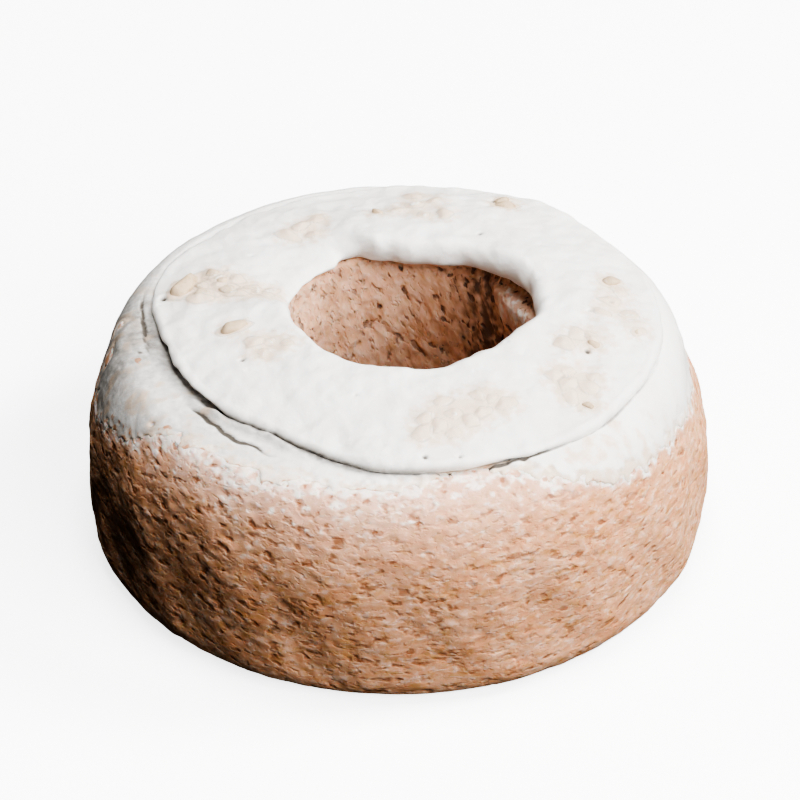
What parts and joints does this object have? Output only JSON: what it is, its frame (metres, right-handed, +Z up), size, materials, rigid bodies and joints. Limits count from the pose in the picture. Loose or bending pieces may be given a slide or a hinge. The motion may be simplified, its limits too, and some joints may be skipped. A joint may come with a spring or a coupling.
{
  "type": "ring-shaped carrot cake with icing",
  "caption": "Tall ring-shaped carrot cake with a rough crumb wall, a thick white icing cap set with chopped nuts, and a thin icing coat smeared down its shoulder.",
  "frame": {"origin": "on the surface the cake stands on, below the middle of its outline", "axes": "+Z up out of the hole, -Y towards the front of the cake, +X to its right"},
  "size_m": [0.2225, 0.2213, 0.0888],
  "materials": {
    "crumb": "dull, open baked crumb with small pores",
    "icing": "soft satin white icing with faint knife marks"
  },
  "bodies": {
    "root": {"cake_ring": "crumb", "icing_coat": "icing", "icing_cap": "icing"}
  },
  "joints": []
}
